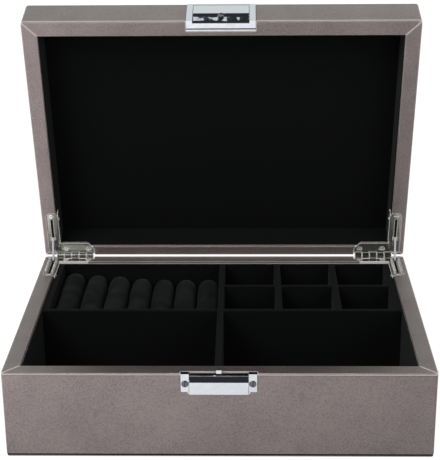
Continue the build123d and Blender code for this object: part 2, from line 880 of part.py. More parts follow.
with BuildPart() as spring:
    spring_back = case_back[0] - spring_thick / 2
    spring_foot = case_z[0] + 2 * spring_bend
    spring_front = flat + press_thick + spring_thick
    with BuildSketch(upright(-spring_half)):
        with BuildLine():
            FilletPolyline(
                (spring_back, rocker[1] - boss_radius - spring_bend),
                (spring_back, spring_foot),
                (spring_front, spring_foot + boss_radius),
                radius=spring_bend,
            )
        trace(line_width=spring_thick)
    extrude(amount=2 * spring_half)
keep(spring, "latch_spring")

with BuildPart() as ear_screws:
    for plane in ear_screw_planes():
        with Locations(plane):
            Cylinder(
                ear_screw_head,
                ear_screw_dome,
                align=(Align.CENTER, Align.CENTER, Align.MIN),
            )
        posts([plane], ear_shank, sheet + ear_screw_length)
    heads = edges().filter_by(GeomType.CIRCLE).group_by(Axis.Y)[0]
    fillet(heads, ear_screw_soft)
    for plane in ear_screw_planes():
        with BuildSketch(plane.offset(ear_screw_dome)):
            Rectangle(screw_slot, 2 * ear_screw_head)
        extrude(amount=-screw_slot_deep, mode=Mode.SUBTRACT)
keep(ear_screws, "latch_screws")

# ---- Striker on the lid ----
with BuildPart() as striker:
    striker_x = (-striker_half, striker_half)
    striker_y = (front - sheet, front)
    striker_top = lid_top - striker_margin
    keeper_z = (lid_rim, lid_rim + keeper_thick)
    for x in both_ways((window_half, striker_half)):
        box(x, striker_y, (lid_rim, striker_top), lid=True)
        box(x, (front, front + keeper_front), keeper_z, lid=True)
    box(striker_x, striker_y, (window_high, striker_top), lid=True)
    box(striker_x, (front + keeper_front, front + keeper_back), keeper_z, lid=True)
    with BuildSketch(upright(-striker_half, lid=True)) as groove_cut:
        low, high = (front + edge for edge in keeper_groove)
        middle = ((low + high) / 2, lid_rim + keeper_groove_deep)
        Polygon((low, lid_rim), middle, (high, lid_rim), align=None)
    extrude(groove_cut.sketch, amount=2 * striker_half, mode=Mode.SUBTRACT)
keep(striker, "striker_frame")

with BuildPart() as insert:
    insert_half = window_half - insert_gap
    flap_face = front - flap_proud
    grip_back = front + grip_deep
    grip_low = lid_rim + keeper_thick + insert_gap
    grip_middle = ((flap_face + grip_back) / 2 + grip_bulge, (flap_low + grip_low) / 2)
    with BuildSketch(upright(-insert_half, lid=True)):
        with BuildLine():
            Polyline(
                (grip_back, grip_low),
                (grip_back + grip_wall, grip_low),
                (grip_back + grip_wall, flap_low + grip_wall),
                (flap_face + flap_thick, flap_low + grip_wall),
                (flap_face + flap_thick, window_high - insert_gap),
                (flap_face, window_high - insert_gap),
                (flap_face, flap_low + flap_soft),
                (flap_face + flap_soft, flap_low),
            )
            ThreePointArc((flap_face + flap_soft, flap_low), grip_middle, (grip_back, grip_low))
        make_face()
    extrude(amount=2 * insert_half)
    rivet_plane = facing((0, front - rivet_proud, flap_low - rivet_drop), (0, -1, 0), lid=True)
    rivet_length = rivet_proud + grip_deep + grip_wall
    posts([rivet_plane.offset(sheet)], rivet_radius + pin_fit, depth / 4, mode=Mode.SUBTRACT)
keep(insert, "striker_insert")

with BuildPart() as rivet:
    posts([rivet_plane], rivet_radius, rivet_length)
keep(rivet, "striker_rivet")

os.makedirs("parts", exist_ok=True)
for piece in finished:
    export_step(piece, f"parts/{piece.label}.step")
print(len(finished), "pieces written")
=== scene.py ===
"""Leather-wrapped jewellery box, open, with velvet inside and chrome fittings.

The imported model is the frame. Its hard pieces keep their shape and get their
finishes here, and the ring rolls are padded pieces in the place of their
solids. Metres, +Z up, +Y to the rear.
"""

import json
from math import cos, pi, radians, sin

import bpy
import numpy as np
from bpy.props import FloatProperty, FloatVectorProperty, PointerProperty
from mathutils import Matrix, Vector


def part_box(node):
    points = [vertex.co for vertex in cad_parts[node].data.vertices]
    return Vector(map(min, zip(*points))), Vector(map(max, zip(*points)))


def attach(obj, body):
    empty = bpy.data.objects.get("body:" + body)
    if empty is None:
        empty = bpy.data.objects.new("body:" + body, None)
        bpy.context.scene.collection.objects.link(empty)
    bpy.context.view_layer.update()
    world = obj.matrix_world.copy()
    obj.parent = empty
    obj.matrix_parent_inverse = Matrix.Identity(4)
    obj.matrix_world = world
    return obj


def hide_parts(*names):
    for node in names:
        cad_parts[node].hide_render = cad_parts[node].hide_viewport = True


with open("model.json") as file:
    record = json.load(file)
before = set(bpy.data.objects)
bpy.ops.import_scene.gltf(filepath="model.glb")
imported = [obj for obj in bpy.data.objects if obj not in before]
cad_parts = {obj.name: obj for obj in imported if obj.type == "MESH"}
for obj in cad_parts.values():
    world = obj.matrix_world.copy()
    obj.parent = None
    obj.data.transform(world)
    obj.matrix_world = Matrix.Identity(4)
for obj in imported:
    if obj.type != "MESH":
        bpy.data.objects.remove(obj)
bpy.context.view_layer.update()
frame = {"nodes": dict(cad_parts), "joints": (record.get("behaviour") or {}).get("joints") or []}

bl_info = {
    "name": "Jewellery Box",
    "version": (1, 0, 0),
    "blender": (4, 5, 0),
    "location": "3D View > Sidebar > Jewellery Box",
    "description": "Finishes, ring rolls and stage for a leather-wrapped jewellery box",
    "category": "Object",
}

NODES = frame["nodes"]
LID_JOINT = next(j for j in frame["joints"] if j["name"] == "lid_hinge")
HINGE = Vector(LID_JOINT["pos_m"])
MM = 0.001

# Sizes of the finishes' patterns; fibres and reliefs are drawn coarser than real, so that they show
LEATHER_PORE = 0.35 * MM
LEATHER_PATCH = 28 * MM
LEATHER_RELIEF = 0.22 * MM
VELVET_STROKE = 22 * MM
VELVET_RELIEF = 0.25 * MM
PLATE_HAZE = 6 * MM
SHEET_SWELL = 7 * MM
LATCH_WAVE = 0.35 * MM  # height of the swells in the latch's thin sheet
FIBRE = 1.2 * MM
FELT_FIBRE = 0.8 * MM
FELT_RELIEF = 0.2 * MM

# Reaches of painted highlights, painted sheen, painted shade, pressed edges and knuckles
LEATHER_FOLD = 0.9 * MM
LEATHER_CREVICE = 1.6 * MM
VELVET_EDGE = 1.2 * MM
PRESSED_EDGE = 0.25 * MM
HIGHLIGHT_REACH = 0.8 * MM
PLATE_CREVICE = 0.9 * MM
KNUCKLE_REACH = 2.5 * MM  # from the hinge axis
CREVICE = (0.01, 0.01, 0.009, 1.0)  # painted shade: the fittings' corners and crevices are drawn darker than plate
HIGHLIGHT_TONE = (1.0, 1.0, 0.96, 1.0)  # painted highlight: the tone along the fittings' edges
GROOVE = (2.35 * MM, 0.62 * MM)  # height and half width of the painted shade in the groove over the plinth

# Shape of the padded rolls and of the pad under them
DOME_RISE = 0.97  # height of a roll's dome over its half width
FOOT_SHARE = 0.9  # half width of its foot over its own
SIDE_BOW = 1.6  # power of the drop by which its sides draw in
END_POWER, END_ROOT = 9, 2.4  # how late and how roundly its ends draw in
CORE_SHARE = 0.45  # height of the core that they draw in to
LUMP_WAVES = ((1.0, 5.1, 1.0), (0.6, 11.3, 2.3))  # share, pace and phase of each slow wave
ROLL_CORNER = 1.8 * MM
PAD_CORNER = 1.2 * MM
DOME_POINTS, SIDE_POINTS, CORNER_POINTS, FOOT_POINTS = 33, 9, 6, 8
RING_COUNT = 73  # along a roll
PAD_POINTS = 25  # along a side of the pad

SIDE_NODES = ("base_side_leather", "plinth")
FOLDED_NODES = ("base_rim_leather", "lid_leather", "lid_rim_leather")
VELVET_NODES = (
    "base_wall_lining",
    "floor_lining",
    "lid_wall_lining",
    "lid_panel",
    "main_partition",
    "centre_divider",
    "cross_divider",
    "cell_divider_1",
    "cell_divider_2",
    "roll_end_board",
    "cell_end_board",
)
BOARD_NODES = tuple(n for n in NODES if n.endswith("_board") and n not in VELVET_NODES)
ROLL_NODES = tuple(sorted(n for n in NODES if n.startswith("ring_roll_")))
HINGE_SCREWS = ("base_hinge_screws", "lid_hinge_screws")
STAY_NODES = ("left_stay_link", "right_stay_link")
HINGE_NODES = tuple(
    n for n in NODES if ("hinge" in n or "_stay_" in n) and n not in HINGE_SCREWS + STAY_NODES
)
LATCH_NODES = (
    "latch_case",
    "latch_press_plate",
    "latch_hook",
    "latch_rocker_pin",
    "striker_frame",
    "striker_insert",
)


def linear(hex_colour):
    """An sRGB hex colour as linear red, green and blue."""
    channels = [int(hex_colour[i : i + 2], 16) / 255 for i in (1, 3, 5)]
    return tuple(c / 12.92 if c <= 0.04045 else ((c + 0.055) / 1.055) ** 2.4 for c in channels)


def colour(name, description, hex_colour):
    """A colour property with a default given as sRGB hex."""
    return FloatVectorProperty(
        name=name,
        description=description,
        subtype="COLOR",
        size=3,
        min=0,
        max=1,
        default=linear(hex_colour),
    )


def size(name, description, metres):
    """A length property."""
    return FloatProperty(
        name=name, description=description, subtype="DISTANCE", unit="LENGTH", min=0, default=metres
    )


class BoxFinishes(bpy.types.PropertyGroup):
    """Colours and pattern sizes of the box."""

    leather: colour("Leather", "Pearl-coated leather, where light falls on it", "#A99D9A")
    leather_shade: colour("Leather shade", "The coating where it is thinner, in the grain", "#8B7F80")
    # painted highlight along the leather's folds and edges
    leather_fold_highlight: colour("Leather fold highlight", "Painted highlight along folds and edges", "#EFE6DF")
    # painted shade in the groove over the plinth and in the leather's crevices
    leather_painted_shade: colour("Groove and crevice shade", "Painted shade in the plinth groove and in crevices", "#1E1A19")
    leather_grain: size("Leather grain", "Width of one pebble of the grain", 0.9 * MM)
    velvet: colour("Velvet", "Pile seen from above", "#050606")
    # also the painted sheen along the velvet cards' edges
    velvet_brushed_and_sheen: colour("Brushed velvet", "Pile that lies over and shows its side, also painted sheen along edges", "#1E1F1F")
    velvet_nap: size("Velvet nap", "Width of a tuft, drawn coarse enough to show", 0.45 * MM)
    chrome: colour("Chrome", "Polished chrome plate", "#E4E7EF")
    hinge_chrome: colour("Hinge chrome", "The warmer plate of the hinges", "#A9A9A1")
    dull_steel: colour("Dulled steel", "The latch's screws and rivet", "#6E7072")
    steel: colour("Spring steel", "Plain spring steel", "#8F9094")
    board: colour("Fibreboard", "Boards under the leather, stained dark", "#2A2623")
    felt: colour("Felt", "Underside felt", "#151515")
    stage: colour("Stage", "Floor and backdrop", "#F4F4F4")


class BoxSizes(bpy.types.PropertyGroup):
    """Sizes of the padded rolls and of the stage."""

    roll_fit: size("Roll fit", "Room between one roll and the next", 0.25 * MM)
    roll_lump: size("Roll lump", "Unevenness of the padding", 0.22 * MM)
    roll_fill: FloatProperty(
        name="Roll fill", description="How firmly the rolls are stuffed", default=0.85
    )
    floor_size: size("Floor size", "Width of the floor", 6.0)
    lens: FloatProperty(name="Lens", description="Focal length on a 36 mm frame", default=100.83)


# ---- Node trees ----
def node(tree, kind, inputs=None, **settings):
    """Add a node with its settings, its socket values and its links."""
    made = tree.nodes.new(kind)
    for name, value in settings.items():
        setattr(made, name, value)
    for name, value in (inputs or {}).items():
        if isinstance(value, bpy.types.NodeSocket):
            tree.links.new(value, made.inputs[name])
        else:
            made.inputs[name].default_value = value
    return made


def new_material(name):
    """A material with an empty node tree and its output."""
    material = bpy.data.materials.new(name)
    material.use_nodes = True
    tree = material.node_tree
    tree.nodes.clear()
    return material, tree, tree.nodes.new("ShaderNodeOutputMaterial")


def rgba(colour_value):
    return (*colour_value, 1.0)


def edge_share(tree, radius, most, full=0.8):
    """From 0 on a face to most along its edges, where the rounded normal leaves the face's own.

    The share reaches its most where the cosine of the turn between the two
    falls to full.
    """
    rounded = node(tree, "ShaderNodeBevel", {"Radius": radius}, samples=8)
    face = node(tree, "ShaderNodeNewGeometry").outputs["Normal"]
    turn = node(tree, "ShaderNodeVectorMath", {0: rounded.outputs[0], 1: face}, operation="DOT_PRODUCT")
    share = node(
        tree,
        "ShaderNodeMapRange",
        {
            "Value": turn.outputs["Value"],
            "From Min": 0.995,
            "From Max": full,
            "To Min": 0.0,
            "To Max": most,
        },
    )
    return share.outputs[0]


def fold_share(tree, reach, most):
    """The share of painted highlight: from 0 on a face to most on its round folds, where the solid is
    thin to every side.
    """
    inside = node(
        tree, "ShaderNodeAmbientOcclusion", {"Distance": reach}, samples=8, inside=True, only_local=True
    )
    share = node(
        tree,
        "ShaderNodeMapRange",
        {
            "Value": inside.outputs["AO"],
            "From Min": 0.92,
            "From Max": 0.6,
            "To Min": 0.0,
            "To Max": most,
        },
    )
    return share.outputs[0]


def crevice_share(tree, reach, most):
    """The share of painted shade: from most in a crevice, where other surfaces stand close, to 0 in the
    open.
    """
    room = node(tree, "ShaderNodeAmbientOcclusion", {"Distance": reach}, samples=8)
    share = node(
        tree,
        "ShaderNodeMapRange",
        {"Value": room.outputs["AO"], "From Min": 0.35, "From Max": 0.85, "To Min": most, "To Max": 0.0},
    )
    return share.outputs[0]


def leather_material(name, finishes, fold_highlight):
    """Coated split leather with a pearl top coat.

    The coating is rolled over an embossed grain, so it is a little darker
    between the pebbles, and its mica gives a soft metallic sheen. Along the
    folds a painted highlight is mixed in, by the share given. The groove over
    the plinth and the crevices are darkened with painted shade.
    """
    material, tree, output = new_material(name)
    place = node(tree, "ShaderNodeTexCoord").outputs["Object"]
    pebbles = node(
        tree,
        "ShaderNodeTexVoronoi",
        {"Vector": place, "Scale": 1 / finishes.leather_grain, "Randomness": 0.9},
        feature="SMOOTH_F1",
    )
    pores = node(
        tree,
        "ShaderNodeTexNoise",
        {"Vector": place, "Scale": 1 / LEATHER_PORE, "Detail": 3.0, "Roughness": 0.6},
    )
    patches = node(
        tree,
        "ShaderNodeTexNoise",
        {"Vector": place, "Scale": 1 / LEATHER_PATCH, "Detail": 4.0, "Roughness": 0.55},
    )
    grain = node(
        tree,
        "ShaderNodeMath",
        {0: pebbles.outputs["Distance"], 1: pores.outputs["Fac"]},
        operation="ADD",
    )
    tone = node(
        tree,
        "ShaderNodeMapRange",
        {"Value": grain.outputs[0], "From Min": 0.5, "From Max": 1.2, "To Min": 0.0, "To Max": 0.9},
    )
    mottle = node(
        tree,
        "ShaderNodeMapRange",
        {
            "Value": patches.outputs["Fac"],
            "From Min": 0.3,
            "From Max": 0.7,
            "To Min": -0.12,
            "To Max": 0.25,
        },
    )
    blend = node(
        tree,
        "ShaderNodeMath",
        {0: tone.outputs[0], 1: mottle.outputs[0]},
        operation="ADD",
        use_clamp=True,
    )
    coat = node(
        tree,
        "ShaderNodeMix",
        {
            "Factor": blend.outputs[0],
            "A": rgba(finishes.leather),
            "B": rgba(finishes.leather_shade),
        },
        data_type="RGBA",
    )
    # painted shade: a band in the groove over the plinth, and the crevices
    height = node(tree, "ShaderNodeSeparateXYZ", {"Vector": place}).outputs["Z"]
    groove = node(tree, "ShaderNodeMath", {0: height, 1: GROOVE[0], 2: GROOVE[1]}, operation="COMPARE")
    dark = node(
        tree,
        "ShaderNodeMath",
        {0: groove.outputs[0], 1: crevice_share(tree, LEATHER_CREVICE, 0.8)},
        operation="MAXIMUM",
    )
    coat = node(
        tree,
        "ShaderNodeMix",
        {"Factor": dark.outputs[0], "A": coat.outputs["Result"], "B": rgba(finishes.leather_painted_shade)},
        data_type="RGBA",
    )
    rough = node(
        tree,
        "ShaderNodeMapRange",
        {
            "Value": pores.outputs["Fac"],
            "From Min": 0.3,
            "From Max": 0.7,
            "To Min": 0.27,
            "To Max": 0.38,
        },
    )
    bump = node(
        tree,
        "ShaderNodeBump",
        {"Height": grain.outputs[0], "Strength": 1.0, "Distance": LEATHER_RELIEF},
    )
    shader = node(
        tree,
        "ShaderNodeBsdfPrincipled",
        {
            "Base Color": coat.outputs["Result"],
            "Metallic": 0.88,
            "Roughness": rough.outputs[0],
            "IOR": 1.5,
            "Normal": bump.outputs[0],
        },
    )
    if not fold_highlight:
        tree.links.new(shader.outputs[0], output.inputs["Surface"])
        return material
    # painted highlight mixed in along the folds
    painted_fold_highlight = node(tree, "ShaderNodeBsdfDiffuse", {"Color": rgba(finishes.leather_fold_highlight)})
    share = fold_share(tree, LEATHER_FOLD, fold_highlight)
    mix = node(tree, "ShaderNodeMixShader", {0: share, 1: shader.outputs[0], 2: painted_fold_highlight.outputs[0]})
    tree.links.new(mix.outputs[0], output.inputs["Surface"])
    return material


def velvet_material(name, finishes, brushed=0.0, edge_sheen=1.0):
    """Cut-pile velvet: black from above, with a soft light along edges.

    Each tuft hides the light between the fibres, and where the pile has been
    stroked over it shows its paler side. Along the edges of the cards a painted
    sheen of that paler tone is added.
    """
    material, tree, output = new_material(name)
    place = node(tree, "ShaderNodeTexCoord").outputs["Object"]
    tufts = node(
        tree,
        "ShaderNodeTexNoise",
        {"Vector": place, "Scale": 1 / finishes.velvet_nap, "Detail": 2.0, "Roughness": 0.7},
    )
    strokes = node(
        tree,
        "ShaderNodeTexNoise",
        {
            "Vector": place,
            "Scale": 1 / VELVET_STROKE,
            "Detail": 3.0,
            "Roughness": 0.5,
            "Distortion": 0.6,
        },
    )
    lie = node(
        tree,
        "ShaderNodeMapRange",
        {
            "Value": strokes.outputs["Fac"],
            "From Min": 0.35,
            "From Max": 0.7,
            "To Min": 0.0,
            "To Max": brushed,
        },
    )
    fleck = node(
        tree,
        "ShaderNodeMath",
        {0: tufts.outputs["Fac"], 1: 0.5, 2: lie.outputs[0]},
        operation="MULTIPLY_ADD",
    )
    # painted sheen along the cards' edges
    lie_and_sheen = node(
        tree,
        "ShaderNodeMath",
        {0: fleck.outputs[0], 1: edge_share(tree, VELVET_EDGE, edge_sheen)},
        operation="ADD",
        use_clamp=True,
    )
    pile = node(
        tree,
        "ShaderNodeMix",
        {"Factor": lie_and_sheen.outputs[0], "A": rgba(finishes.velvet), "B": rgba(finishes.velvet_brushed_and_sheen)},
        data_type="RGBA",
    )
    bump = node(
        tree,
        "ShaderNodeBump",
        {"Height": tufts.outputs["Fac"], "Strength": 0.6, "Distance": VELVET_RELIEF},
    )
    shader = node(
        tree,
        "ShaderNodeBsdfPrincipled",
        {
            "Base Color": pile.outputs["Result"],
            "Roughness": 0.95,
            "Specular IOR Level": 0.1,
            "Sheen Weight": 0.08,
            "Sheen Roughness": 0.4,
            "Sheen Tint": (0.75, 0.78, 0.8, 1.0),
            "Normal": bump.outputs[0],
        },
    )
    tree.links.new(shader.outputs[0], output.inputs["Surface"])
    return material


def chrome_material(
    name, tint, roughness, wear=0.02, milky=0.0, bright_edges=0.0, knuckle=0.0, wave=0.0
):
    """Bright polished plate on pressed steel, with faint handling haze.

    Nickel under thin chrome looks a little milky, and a painted highlight
    is mixed in along the pressed edges. The rolled knuckles, within a reach
    of the hinge axis, rub each other mirror-bright.
    Thin sheet is never quite flat, so a wave gives what it mirrors a wavy
    outline. Corners and crevices are darkened with painted shade.
    """
    material, tree, output = new_material(name)
    place = node(tree, "ShaderNodeTexCoord").outputs["Object"]
    haze = node(
        tree,
        "ShaderNodeTexNoise",
        {"Vector": place, "Scale": 1 / PLATE_HAZE, "Detail": 4.0, "Roughness": 0.6},
    )
    rough = node(
        tree,
        "ShaderNodeMapRange",
        {
            "Value": haze.outputs["Fac"],
            "From Min": 0.35,
            "From Max": 0.7,
            "To Min": roughness,
            "To Max": roughness + wear,
        },
    )
    metal = 1.0 - milky
    if knuckle:
        arm = node(tree, "ShaderNodeVectorMath", {0: place, 1: tuple(HINGE)}, operation="SUBTRACT")
        across = node(
            tree, "ShaderNodeVectorMath", {0: arm.outputs[0], 1: (0, 1, 1)}, operation="MULTIPLY"
        )
        reach = node(tree, "ShaderNodeVectorMath", {0: across.outputs[0]}, operation="LENGTH")
        metal = node(
            tree,
            "ShaderNodeMapRange",
            {
                "Value": reach.outputs["Value"],
                "From Min": knuckle,
                "From Max": 1.1 * knuckle,
                "To Min": 1.0,
                "To Max": 1.0 - milky,
            },
        ).outputs[0]
    edge = node(tree, "ShaderNodeBevel", {"Radius": PRESSED_EDGE}, samples=4)
    swell = node(tree, "ShaderNodeTexNoise", {"Vector": place, "Scale": 1 / SHEET_SWELL, "Detail": 1.0})
    sheet = node(
        tree,
        "ShaderNodeBump",
        {"Height": swell.outputs["Fac"], "Strength": 1.0, "Distance": wave, "Normal": edge.outputs[0]},
    )
    # painted shade in the fittings' corners and crevices
    shade = node(
        tree,
        "ShaderNodeMix",
        {"Factor": crevice_share(tree, PLATE_CREVICE, 1.0), "A": rgba(tint), "B": CREVICE},
        data_type="RGBA",
    )
    plate = node(
        tree,
        "ShaderNodeBsdfPrincipled",
        {
            "Base Color": shade.outputs["Result"],
            "Metallic": metal,
            "Roughness": rough.outputs[0],
            "Normal": sheet.outputs[0],
        },
    )
    if not bright_edges:
        tree.links.new(plate.outputs[0], output.inputs["Surface"])
        return material
    # painted highlight along the fittings' edges
    share = edge_share(tree, HIGHLIGHT_REACH, bright_edges, 0.92)
    painted_edge_highlight = node(tree, "ShaderNodeBsdfDiffuse", {"Color": HIGHLIGHT_TONE, "Roughness": 0.3})
    mix = node(tree, "ShaderNodeMixShader", {0: share, 1: plate.outputs[0], 2: painted_edge_highlight.outputs[0]})
    tree.links.new(mix.outputs[0], output.inputs["Surface"])
    return material


def board_material(name, finishes):
    """Medium-density fibreboard: pressed wood dust, stained dark and matt."""
    material, tree, output = new_material(name)
    place = node(tree, "ShaderNodeTexCoord").outputs["Object"]
    fibres = node(
        tree,
        "ShaderNodeTexNoise",
        {"Vector": place, "Scale": 1 / FIBRE, "Detail": 4.0, "Roughness": 0.7},
    )
    ramp = node(
        tree,
        "ShaderNodeMix",
        {
            "Factor": fibres.outputs["Fac"],
            "A": rgba(finishes.board),
            "B": rgba([0.7 * c for c in finishes.board]),
        },
        data_type="RGBA",
    )
    shader = node(
        tree,
        "ShaderNodeBsdfPrincipled",
        {"Base Color": ramp.outputs["Result"], "Roughness": 0.85, "IOR": 1.45},
    )
    tree.links.new(shader.outputs[0], output.inputs["Surface"])
    return material


def felt_material(name, finishes):
    """Pressed wool felt: matt, with short crossed fibres."""
    material, tree, output = new_material(name)
    place = node(tree, "ShaderNodeTexCoord").outputs["Object"]
    fibres = node(
        tree,
        "ShaderNodeTexNoise",
        {"Vector": place, "Scale": 1 / FELT_FIBRE, "Detail": 5.0, "Roughness": 0.75, "Distortion": 1.5},
    )
    tone = node(
        tree,
        "ShaderNodeMix",
        {
            "Factor": fibres.outputs["Fac"],
            "A": rgba(finishes.felt),
            "B": rgba([2.2 * c for c in finishes.felt]),
        },
        data_type="RGBA",
    )
    bump = node(
        tree,
        "ShaderNodeBump",
        {"Height": fibres.outputs["Fac"], "Strength": 0.6, "Distance": FELT_RELIEF},
    )
    shader = node(
        tree,
        "ShaderNodeBsdfPrincipled",
        {
            "Base Color": tone.outputs["Result"],
            "Roughness": 0.95,
            "Specular IOR Level": 0.15,
            "Sheen Weight": 0.1,
            "Normal": bump.outputs[0],
        },
    )
    tree.links.new(shader.outputs[0], output.inputs["Surface"])
    return material


def dress(names, material):
    """Give CAD nodes a material in place of their own."""
    for name in names:
        slots = NODES[name].data.materials
        slots.clear()
        slots.append(material)


# ---- Surfaces ----
def grid_faces(rows, columns):
    """Quads between rings of points, as many in each ring as there are columns."""
    i, j = np.meshgrid(np.arange(rows - 1), np.arange(columns), indexing="ij")
    k = (j + 1) % columns
    row, above = i * columns, (i + 1) * columns
    return np.stack([row + j, row + k, above + k, above + j], -1).reshape(-1, 4)


def mesh_object(name, points, faces, material):
    """A smooth mesh object at the origin from an array of points and a list of faces."""
    mesh = bpy.data.meshes.new(name)
    mesh.from_pydata(points.tolist(), [], faces)
    mesh.update()
    mesh.shade_smooth()
    mesh.materials.append(material)
    made = bpy.data.objects.new(name, mesh)
    bpy.context.scene.collection.objects.link(made)
    return made


def tube_with_ends(name, rings, material):
    """A closed surface from rings of points; each end ring closes on its middle."""
    rows, columns = rings.shape[:2]
    points = np.concatenate([rings.reshape(-1, 3), rings[0].mean(0)[None], rings[-1].mean(0)[None]])
    j = np.arange(columns)
    k = (j + 1) % columns
    end_ring = (rows - 1) * columns
    first, last = np.full(columns, rows * columns), np.full(columns, rows * columns + 1)
    start_fan = np.stack([first, k, j], -1)
    end_fan = np.stack([last, end_ring + j, end_ring + k], -1)
    faces = grid_faces(rows, columns).tolist() + start_fan.tolist() + end_fan.tolist()
    return mesh_object(name, points, faces, material)


def roll_rings(low, high, lump, phase):
    """Rings of one padded roll between two corners.

    Across, the section is a half ellipse on sides that draw in to a flat
    foot, by the power SIDE_BOW of their drop, with quarter circles at the
    foot's corners. Along, with v from -1 to 1, the section shrinks to its
    core as (1 - |v|^END_POWER)^(1/END_ROOT), and below the core by the root
    of that, so the ends are round. Two slow sine waves draw the padding in a
    little here and there.
    """
    half = (high[0] - low[0]) / 2
    middle = (high[0] + low[0]) / 2
    shoulder = high[2] - DOME_RISE * half
    foot = FOOT_SHARE * half
    corner = ROLL_CORNER
    top = np.linspace(0, pi, DOME_POINTS)
    dome = np.stack([half * np.cos(top), shoulder + DOME_RISE * half * np.sin(top)], -1)
    drop = np.linspace(0, 1, SIDE_POINTS)[1:]
    side_z = shoulder + (low[2] + corner - shoulder) * drop
    side_x = half + (foot - half) * drop**SIDE_BOW
    bend = np.linspace(0, pi / 2, CORNER_POINTS)[1:]
    turn_x = foot - corner + corner * np.cos(bend)
    turn_z = low[2] + corner - corner * np.sin(bend)
    flat_x = np.linspace(foot - corner, -(foot - corner), FOOT_POINTS)[1:-1]
    left = np.concatenate([np.stack([-side_x, side_z], -1), np.stack([-turn_x, turn_z], -1)])
    right = left[::-1] * (-1, 1)
    flat = np.stack([-flat_x, np.full_like(flat_x, low[2])], -1)
    section = np.concatenate([dome, left, flat, right])
    along = np.sin(np.linspace(-pi / 2, pi / 2, RING_COUNT))
    shrink = np.maximum(1 - np.abs(along) ** END_POWER, 1e-4) ** (1 / END_ROOT)
    y = (low[1] + high[1]) / 2 + along * (high[1] - low[1]) / 2
    core_z = low[2] + CORE_SHARE * (high[2] - low[2])
    wave = sum(share * np.sin(pace * along + shift * phase) for share, pace, shift in LUMP_WAVES)
    drawn = (shrink * np.minimum(1 + lump / half * wave, 1))[:, None]
    x = middle + section[None, :, 0] * drawn
    rise = np.maximum(section[:, 1] - core_z, 0)[None]
    fall = np.minimum(section[:, 1] - core_z, 0)[None]
    z = core_z + rise * drawn + fall * (shrink**0.5)[:, None]
    return np.stack([x, np.broadcast_to(y[:, None], x.shape), z], -1)


def slab_rings(low, high, corner):
    """Rings of a flat pad with round edges, from its foot to its top.

    Over the foot, each ring is the pad's rectangle, drawn in by
    corner * (1 - sin a) at corner * (1 - cos a) above the foot, with a from
    0 to a right angle. Under the top it is the same, the other way round.
    """
    turn = np.linspace(0, pi / 2, CORNER_POINTS)
    inset = np.concatenate([corner * (1 - np.sin(turn)), corner * (1 - np.cos(turn))])
    height = np.concatenate(
        [low[2] + corner * (1 - np.cos(turn)), high[2] - corner * (1 - np.sin(turn))]
    )
    t = np.linspace(0, 1, PAD_POINTS)[:-1]
    square = np.concatenate(
        [
            np.stack([1 - 2 * t, np.ones_like(t)], -1),
            np.stack([-np.ones_like(t), 1 - 2 * t], -1),
            np.stack([2 * t - 1, -np.ones_like(t)], -1),
            np.stack([np.ones_like(t), 2 * t - 1], -1),
        ]
    )
    half = np.array([(high[0] - low[0]) / 2, (high[1] - low[1]) / 2])
    middle = np.array([(high[0] + low[0]) / 2, (high[1] + low[1]) / 2])
    plan = middle + square[None] * (half[None] - inset[:, None])[:, None]
    return np.concatenate([plan, np.broadcast_to(height[:, None, None], (*plan.shape[:2], 1))], -1)


# ---- Operators ----
class JEWELLERYBOX_OT_leather(bpy.types.Operator):
    """Finish the leather wrap of base, lid and plinth"""

    bl_idname = "jewellery_box.leather"
    bl_label = "Leather Wrap"

    def execute(self, context):
        finishes = context.scene.box_finishes
        dress(SIDE_NODES, leather_material("coated_leather_pearl_taupe", finishes, 0.0))
        dress(FOLDED_NODES, leather_material("coated_leather_fold_highlights", finishes, 0.95))
        return {"FINISHED"}


class JEWELLERYBOX_OT_velvet(bpy.types.Operator):
    """Finish the velvet-covered cards and dividers"""

    bl_idname = "jewellery_box.velvet"
    bl_label = "Velvet Lining"

    def execute(self, context):
        dress(VELVET_NODES, velvet_material("cut_pile_velvet_black", context.scene.box_finishes))
        return {"FINISHED"}


class JEWELLERYBOX_OT_ring_rolls(bpy.types.Operator):
    """Make the padded ring rolls and the pad under them"""

    bl_idname = "jewellery_box.ring_rolls"
    bl_label = "Ring Rolls"

    def execute(self, context):
        sizes = context.scene.box_sizes
        finishes = context.scene.box_finishes
        velvet = velvet_material("cut_pile_velvet_rolls", finishes, brushed=1.0, edge_sheen=0.0)
        fit = Vector((sizes.roll_fit / 2, 0, 0))
        for number, name in enumerate(ROLL_NODES):
            low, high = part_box(name)
            rings = roll_rings(low + fit, high - fit, sizes.roll_lump, 1.7 * number)
            roll = tube_with_ends(f"padded_{name}", rings, velvet)
            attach(roll, "base")
            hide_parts(name)
        low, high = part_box("roll_bed")
        pad = tube_with_ends("padded_roll_bed", slab_rings(low, high, PAD_CORNER), velvet)
        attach(pad, "base")
        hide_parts("roll_bed")
        return {"FINISHED"}


